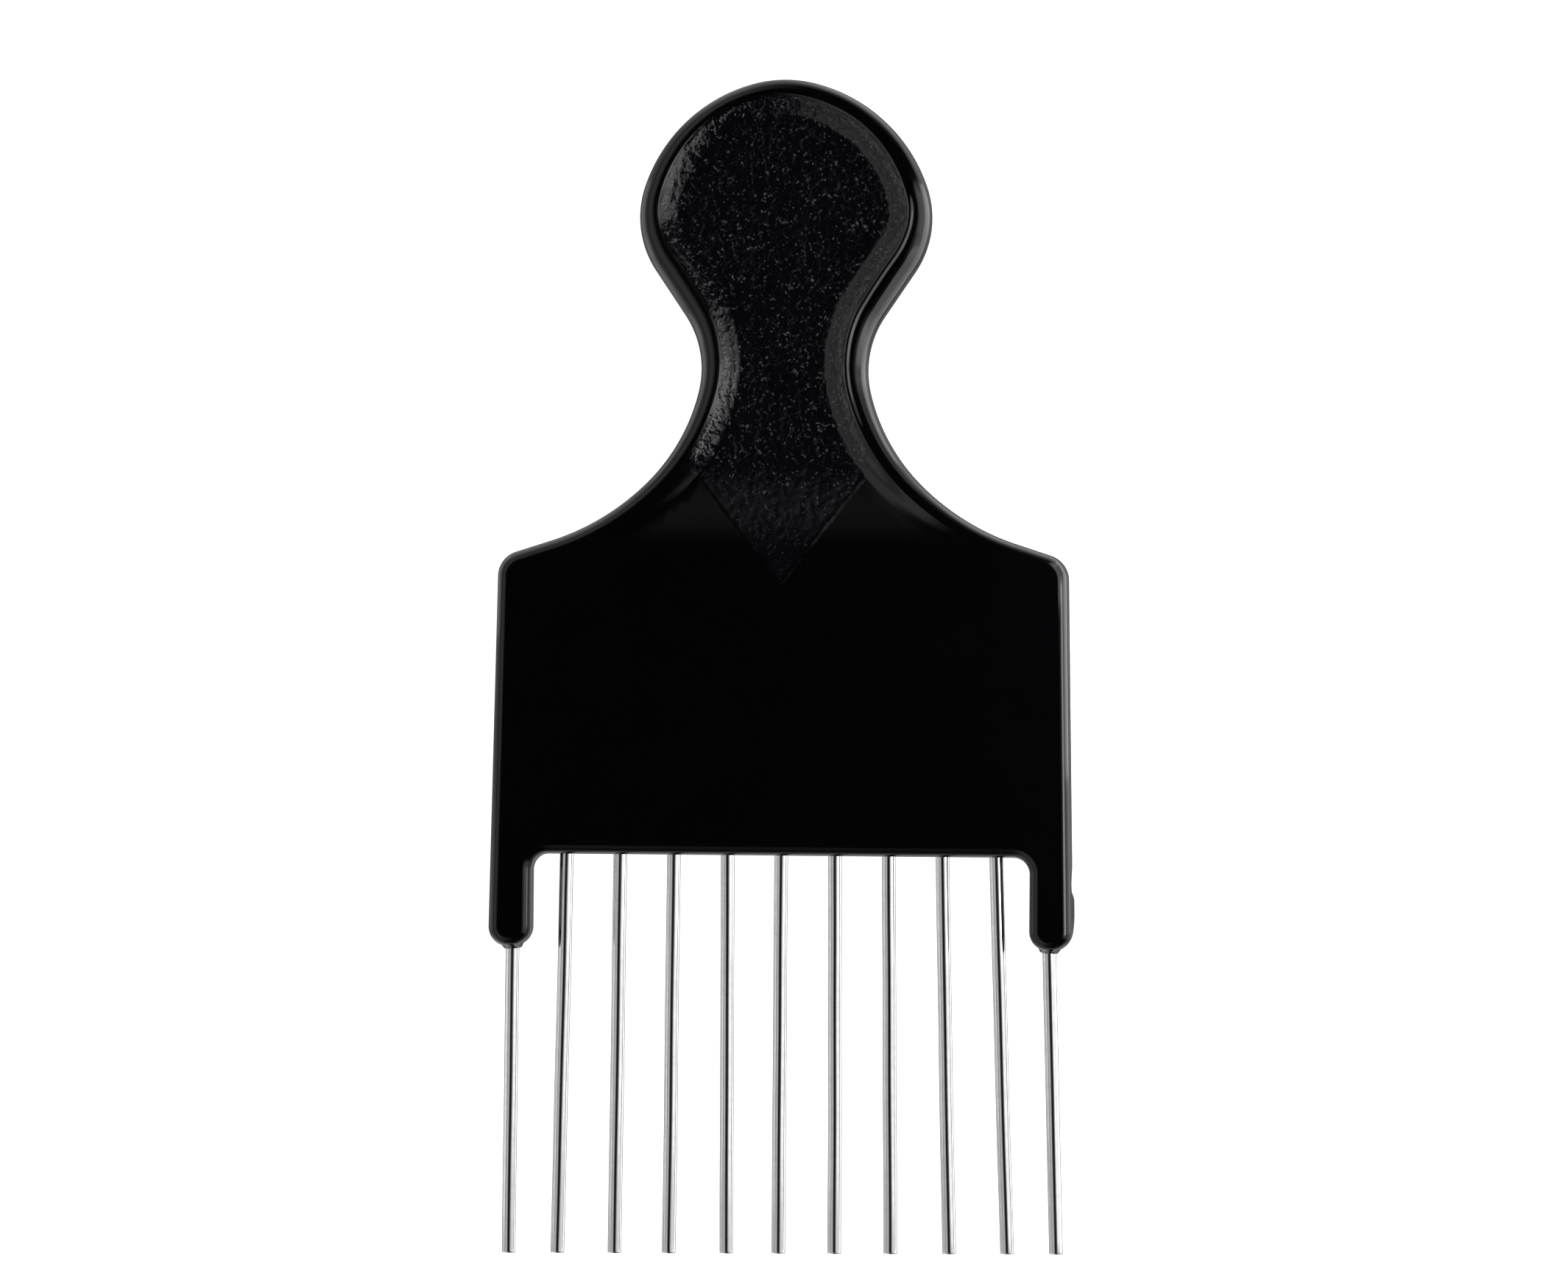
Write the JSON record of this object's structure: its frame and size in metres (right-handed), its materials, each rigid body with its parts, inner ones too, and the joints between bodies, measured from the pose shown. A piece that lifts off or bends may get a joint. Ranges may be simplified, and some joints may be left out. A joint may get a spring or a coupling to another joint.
{
  "type": "afro pick",
  "caption": "Flat hair pick: a waisted black plastic handle with a thumb dish in each face, and a single row of straight round metal pins.",
  "frame": {"origin": "on the plane that the pick lies on, under the middle of its bounding box", "axes": "+Y runs along the pick from the pin tips to the head of the handle, +X across the row of pins to the right in the front view, +Z out of the front face"},
  "size_m": [0.0681, 0.1366, 0.006],
  "materials": {
    "plastic": "glossy black moulding, finely grained in the thumb dish",
    "steel": "bright polished plated wire"
  },
  "bodies": {
    "root": {"handle": "plastic", "pin_01": "steel", "pin_02": "steel", "pin_03": "steel", "pin_04": "steel", "pin_05": "steel", "pin_06": "steel", "pin_07": "steel", "pin_08": "steel", "pin_09": "steel", "pin_10": "steel", "pin_11": "steel"}
  },
  "joints": []
}
